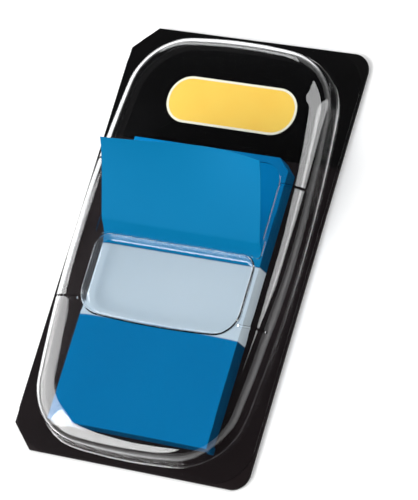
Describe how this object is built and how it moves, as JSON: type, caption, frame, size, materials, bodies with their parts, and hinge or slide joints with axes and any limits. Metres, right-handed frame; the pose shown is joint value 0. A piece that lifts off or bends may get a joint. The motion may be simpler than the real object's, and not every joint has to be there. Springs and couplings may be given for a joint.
{
  "type": "sticky index tab dispenser",
  "caption": "Slim pocket dispenser of sticky index tabs: a pad of film tabs on a stiff black card under a clear formed blister, the next tab standing up through its window.",
  "frame": {"origin": "centre of the backing card's flat back, which the pack lies on", "axes": "+X across the card, +Y along the card towards the printed header, +Z out of the card's face towards the blister"},
  "size_m": [0.038, 0.0654, 0.0126],
  "materials": {
    "black_card": "smooth black sheet with a soft sheen",
    "black_print": "deep black printed panel with a plain blank tag",
    "pad_film": "stacked translucent film, blue at both ends and milky across the middle",
    "blue_film": "thin satin film, blue on its free end and clear on its sticky end",
    "clear_sheet": "clear glossy thermoformed sheet"
  },
  "bodies": {
    "root": {"backing_card": "black_card", "header_panel": "black_print", "tab_pad": "pad_film", "top_tab": "blue_film", "clear_blister": "clear_sheet"}
  },
  "joints": []
}
